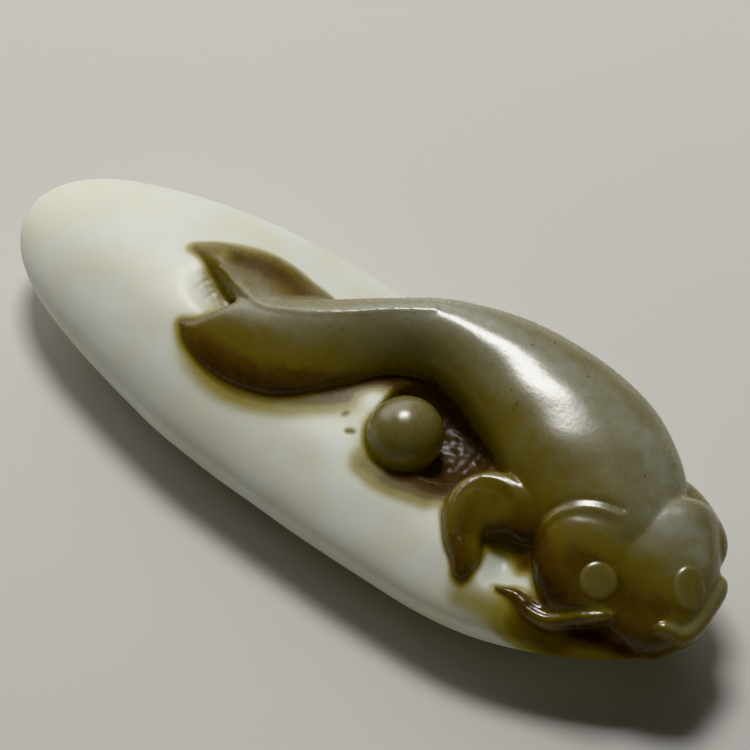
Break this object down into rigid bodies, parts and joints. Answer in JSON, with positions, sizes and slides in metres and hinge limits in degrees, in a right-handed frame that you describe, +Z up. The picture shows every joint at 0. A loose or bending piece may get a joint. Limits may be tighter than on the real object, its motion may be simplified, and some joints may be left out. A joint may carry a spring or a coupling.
{
  "type": "carved jade pebble pendant with a catfish",
  "caption": "Long flattened jade pebble carved in high relief with a catfish that curls around a round bead, left plain at the other end.",
  "frame": {"origin": "on the small flat spot of the underside that the stone lies on, under the middle of its length", "axes": "+X along the pebble from its plain end to the fish's head, +Y across it to the side of the fish's back, +Z up out of the carved face"},
  "size_m": [0.0727, 0.0258, 0.0158],
  "materials": {
    "jade": "polished, waxy"
  },
  "bodies": {
    "root": {"jade_catfish_pendant": "jade"}
  },
  "joints": []
}
